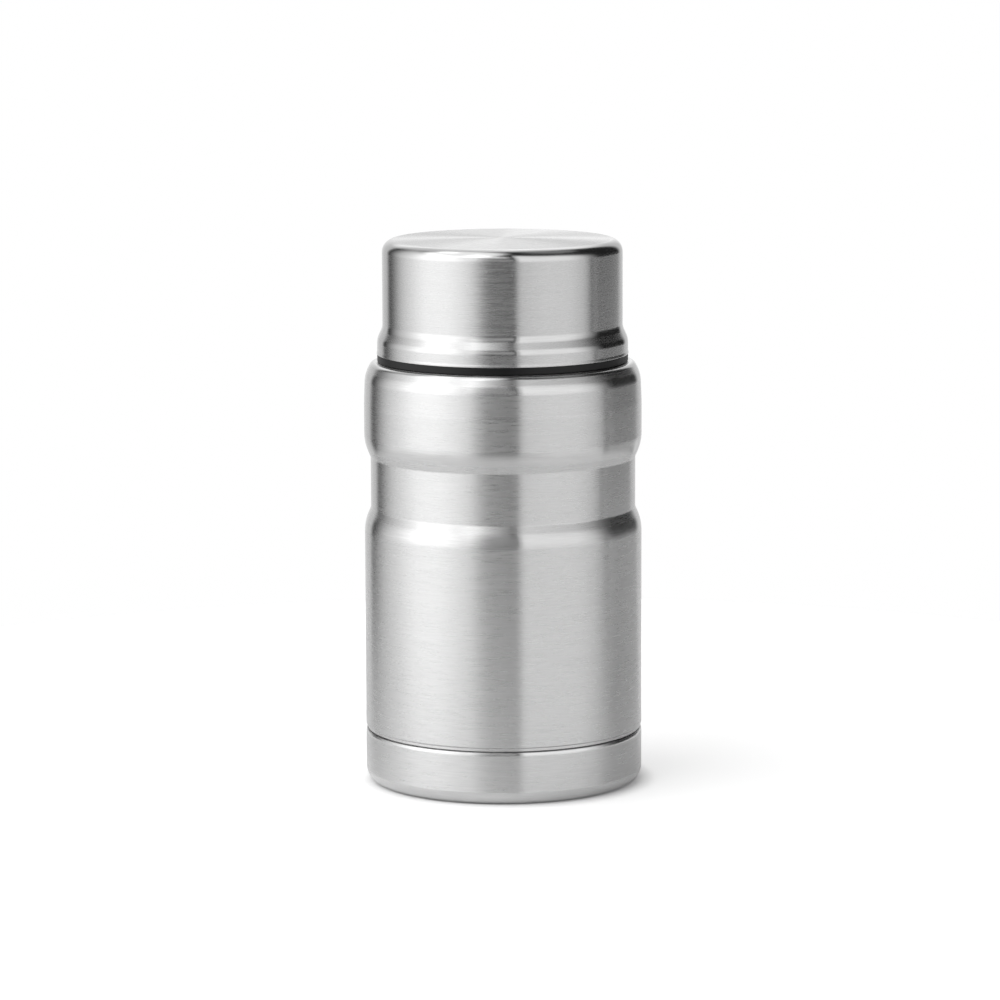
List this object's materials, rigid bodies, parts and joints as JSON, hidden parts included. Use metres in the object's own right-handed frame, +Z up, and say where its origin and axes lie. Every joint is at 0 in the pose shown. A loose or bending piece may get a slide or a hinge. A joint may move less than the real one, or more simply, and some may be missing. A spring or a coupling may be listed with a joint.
{
  "type": "insulated food jar",
  "caption": "Double-walled steel food jar with a screw stopper, a push-button pressure valve and a screw-on steel lid that doubles as a cup.",
  "frame": {"origin": "centre of the standing ring, on the surface that the jar stands on", "axes": "+Z up along the jar's axis; +X and +Y are any two level directions, because the outside is round"},
  "size_m": [0.09, 0.09, 0.1776],
  "materials": {
    "brushed_shell": "stainless steel, brushed around the axis",
    "brushed_base": "stainless steel, brushed around the axis",
    "brushed_lid": "stainless steel, brushed around the axis, the top spun",
    "liner_steel": "stainless steel, finely polished inside",
    "plain_steel": "stainless steel, as rolled",
    "foil": "bright foil",
    "getter_metal": "sintered metal",
    "solder": "solder glass bead",
    "stopper_plastic": "black polypropylene, fine moulded grain",
    "black_plastic": "black polypropylene, moulded",
    "button_plastic": "grey polypropylene, moulded",
    "foam": "rigid insulating foam",
    "silicone": "translucent silicone rubber",
    "black_rubber": "black silicone rubber, matt",
    "spring_steel": "drawn stainless wire"
  },
  "bodies": {
    "vessel": {"outer_shell": "brushed_shell", "shell_floor": "plain_steel", "base_cup": "brushed_base", "inner_liner": "liner_steel", "liner_floor": "liner_steel", "foil_wrap": "foil", "getter": "getter_metal", "getter_cup": "plain_steel", "vacuum_plug": "solder"},
    "stopper_core": {"stopper_foam": "foam"},
    "stopper_washer": {"stopper_seal": "silicone"},
    "stopper": {"stopper_body": "stopper_plastic", "stopper_cap": "stopper_plastic", "vent_spring": "spring_steel"},
    "valve": {"vent_button": "button_plastic", "vent_stem": "button_plastic", "vent_seal": "silicone"},
    "lid_washer": {"lid_gasket": "silicone"},
    "lid_rim": {"lid_band": "black_rubber"},
    "lid": {"lid_shell": "brushed_lid", "lid_thread_ring": "black_plastic"}
  },
  "joints": [
    {"name": "stopper_off", "type": "slide", "parent": "vessel", "child": "stopper_core", "axis": [0, 0, 1], "range_m": [0, 0.06]},
    {"name": "stopper_rise", "type": "slide", "parent": "stopper_core", "child": "stopper_washer", "axis": [0, 0, 1], "range_m": [0, 0.0042]},
    {"name": "stopper_turn", "type": "hinge", "parent": "stopper_washer", "child": "stopper", "pos_m": [0, 0, 0.156], "axis": [0, 0, 1], "range_deg": [0, 370]},
    {"name": "vent_press", "type": "slide", "parent": "stopper", "child": "valve", "axis": [0, 0, -1], "range_m": [0, 0.0022], "stiffness_N_per_m": 300, "springref_m": -0.003, "deforming": ["vent_spring"]},
    {"name": "lid_off", "type": "slide", "parent": "stopper_core", "child": "lid_washer", "axis": [0, 0, 1], "range_m": [0, 0.075]},
    {"name": "lid_rise", "type": "slide", "parent": "lid_washer", "child": "lid_rim", "axis": [0, 0, 1], "range_m": [0, 0.0048]},
    {"name": "lid_turn", "type": "hinge", "parent": "lid_rim", "child": "lid", "pos_m": [0, 0, 0.138], "axis": [0, 0, 1], "range_deg": [0, 430]}
  ],
  "couplings": [
    {"joint": "stopper_rise", "follows": "stopper_turn", "m_per_rad": 0.00063662},
    {"joint": "lid_rise", "follows": "lid_turn", "m_per_rad": 0.00063662}
  ]
}
